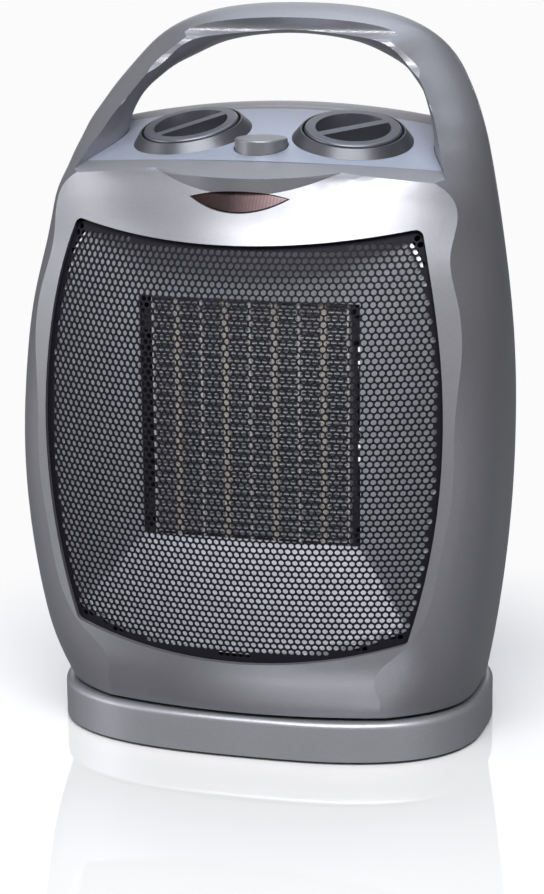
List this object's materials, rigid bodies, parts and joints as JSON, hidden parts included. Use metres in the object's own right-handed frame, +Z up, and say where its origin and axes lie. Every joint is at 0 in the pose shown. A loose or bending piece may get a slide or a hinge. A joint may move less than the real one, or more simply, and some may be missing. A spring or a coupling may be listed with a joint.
{
  "type": "ceramic space heater",
  "caption": "Oscillating tabletop ceramic space heater: arched body with carry handle over a top control panel, two knobs, a button, perforated front grille and swivel base.",
  "frame": {"origin": "on the floor plane under the centre of the whole heater", "axes": "+X to the heater's left as seen from behind it, so to the viewer's right from the front; -Y out of the front grille; +Z up"},
  "size_m": [0.1816, 0.1335, 0.2691],
  "materials": {
    "silver_paint": "metallic silver-grey paint over moulded plastic, satin",
    "panel_paint": "lighter satin silver paint",
    "ring_paint": "metallic silver paint, satin",
    "knob_paint": "metallic silver paint, satin",
    "button_paint": "metallic grey paint, satin",
    "red_lens": "tinted translucent red, glossy",
    "black_mesh": "perforated steel sheet, black enamel",
    "bright_sheet": "bright rolled aluminium",
    "white_nylon": "moulded nylon",
    "ptc_ceramic": "ceramic plate, matt",
    "fin_aluminium": "thin folded sheet",
    "strip_brass": "plain strip",
    "cutout_steel": "plain",
    "fuse_steel": "plain",
    "black_plastic": "fine moulded texture",
    "foot_rubber": "matt",
    "motor_steel": "zinc plated",
    "lamp_glass": "clear bulb",
    "bronze": "sintered bronze",
    "stator_iron": "laminated",
    "bright_steel": "zinc plated"
  },
  "bodies": {
    "base": {"base_shell": "silver_paint", "base_bottom": "black_plastic", "base_screws": "bright_steel", "rubber_feet": "foot_rubber", "pivot_spindle": "bright_steel", "retaining_washer": "bright_steel", "spindle_clip": "bright_steel", "glide_ring": "white_nylon", "tip_switch": "black_plastic"},
    "housing": {"front_shell": "silver_paint", "rear_shell": "silver_paint", "top_panel": "panel_paint", "indicator_lens": "red_lens", "front_grille": "black_mesh", "reflector": "bright_sheet", "body_floor": "black_plastic", "floor_screws": "bright_steel", "casing_screws": "bright_steel", "pivot_bush": "white_nylon", "swing_motor": "motor_steel", "swing_motor_screws": "bright_steel", "terminal_block": "white_nylon", "cord_inlet": "foot_rubber", "mode_bezel": "ring_paint", "thermostat_bezel": "ring_paint", "mode_switch": "black_plastic", "thermostat": "black_plastic", "swing_switch": "black_plastic", "control_screws": "bright_steel", "neon_lamp": "lamp_glass", "lamp_holder": "black_plastic", "heater_frame": "white_nylon", "ptc_plates": "ptc_ceramic", "fin_stacks": "fin_aluminium", "contact_strips": "strip_brass", "core_spacers": "white_nylon", "thermal_cutout": "cutout_steel", "thermal_fuse": "fuse_steel", "fan_shroud": "black_plastic", "motor_bracket": "black_plastic", "motor_can": "motor_steel", "motor_end_cap": "motor_steel", "motor_bearings": "bronze", "motor_stator": "stator_iron", "shroud_screws": "bright_steel", "bracket_screws": "bright_steel", "frame_screws": "bright_steel"},
    "mode_dial": {"mode_knob": "knob_paint", "mode_shaft": "bright_steel"},
    "thermostat_dial": {"thermostat_knob": "knob_paint", "thermostat_shaft": "bright_steel"},
    "swing_button": {"push_button": "button_paint", "button_plunger": "bright_steel"},
    "fan": {"fan_impeller": "black_plastic", "fan_shaft": "bright_steel", "motor_rotor": "stator_iron"},
    "crank": {"crank_arm": "white_nylon", "crank_shaft": "bright_steel"},
    "tip_sensor": {"tip_plunger": "white_nylon"}
  },
  "joints": [
    {"name": "body_swing", "type": "hinge", "parent": "base", "child": "housing", "pos_m": [0, 0, 0.017], "axis": [0, 0, 1], "range_deg": [-35, 35]},
    {"name": "crank_turn", "type": "hinge", "parent": "housing", "child": "crank", "pos_m": [0.036, 0, 0.021], "axis": [0, 0, 1], "range_deg": [-105, 105]},
    {"name": "mode_turn", "type": "hinge", "parent": "housing", "child": "mode_dial", "pos_m": [-0.0306, -0.0025, 0.22393], "axis": [-0.0919, -0.2305, 0.9687], "range_deg": [-135, 0]},
    {"name": "thermostat_turn", "type": "hinge", "parent": "housing", "child": "thermostat_dial", "pos_m": [0.0306, -0.0025, 0.22393], "axis": [0.0919, -0.2305, 0.9687], "range_deg": [-270, 0]},
    {"name": "button_press", "type": "slide", "parent": "housing", "child": "swing_button", "axis": [0, 0, -1], "range_m": [0, 0.003], "stiffness_N_per_m": 300, "springref_m": -0.001},
    {"name": "fan_spin", "type": "hinge", "parent": "housing", "child": "fan", "pos_m": [0, 0, 0.124], "axis": [0, 1, 0], "continuous": true},
    {"name": "tip_drop", "type": "slide", "parent": "base", "child": "tip_sensor", "axis": [0, 0, -1], "range_m": [0, 0.0022]}
  ],
  "couplings": [
    {"joint": "crank_turn", "follows": "body_swing", "ratio": -3}
  ]
}
